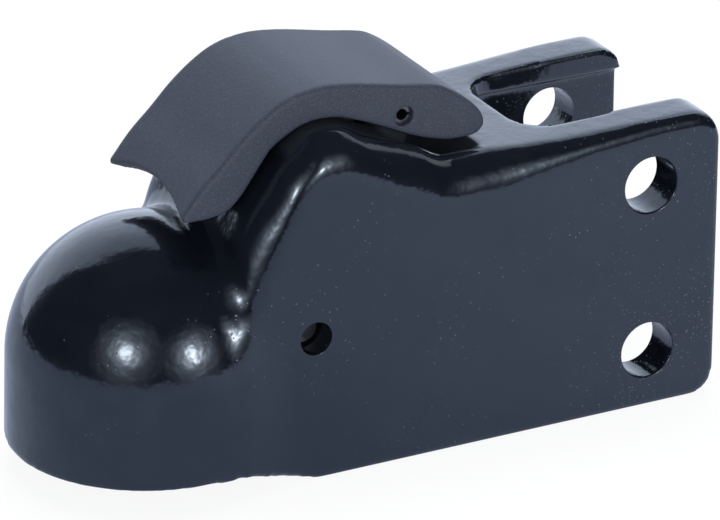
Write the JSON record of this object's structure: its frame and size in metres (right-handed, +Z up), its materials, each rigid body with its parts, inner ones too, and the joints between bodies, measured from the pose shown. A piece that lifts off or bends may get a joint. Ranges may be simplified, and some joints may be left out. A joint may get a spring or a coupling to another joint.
{
  "type": "trailer coupling head",
  "caption": "Cast ball coupling head with a domed socket, a forked back with cross holes for bolting to a tongue, a hooded lever, a wedge and a swinging jaw.",
  "frame": {"origin": "centre of the hitch ball when it is seated in the socket", "axes": "+X back towards the trailer, +Y to the left of the trailer seen from behind, +Z up"},
  "size_m": [0.2025, 0.0812, 0.1114],
  "materials": {
    "black_enamel": "gloss enamel over a casting",
    "grey_coat": "matt fine-grained coating",
    "forged_steel": "oiled, dark",
    "pin_steel": "bright drawn",
    "spring_steel": "oil-blacked",
    "zinc_steel": "zinc plated"
  },
  "bodies": {
    "head": {"head_casting": "black_enamel", "jaw_pin": "pin_steel", "lever_pin": "pin_steel", "spring_washer": "zinc_steel", "lock_spring": "spring_steel"},
    "handle": {"lever": "grey_coat", "lift_pin": "pin_steel", "lift_clip_left": "spring_steel", "lift_clip_right": "spring_steel"},
    "wedge": {"lock_wedge": "forged_steel"},
    "claw": {"jaw": "forged_steel"}
  },
  "joints": [
    {"name": "lever_hinge", "type": "hinge", "parent": "head", "child": "handle", "pos_m": [0.0672, 0, 0.0665], "axis": [0, 1, 0], "range_deg": [0, 55], "stiffness_Nm_per_rad": 0.6, "springref_deg": -34.38},
    {"name": "wedge_slide", "type": "slide", "parent": "head", "child": "wedge", "axis": [0, 0, 1], "range_m": [0, 0.01479], "deforming": ["lock_spring"]},
    {"name": "jaw_swing", "type": "hinge", "parent": "head", "child": "claw", "pos_m": [0.0345, 0, 0.0109], "axis": [0, 1, 0], "range_deg": [-20, 0]}
  ],
  "couplings": [
    {"joint": "wedge_slide", "follows": "lever_hinge", "m_per_rad": 0.015393},
    {"joint": "jaw_swing", "follows": "lever_hinge", "ratio": -0.36364}
  ]
}
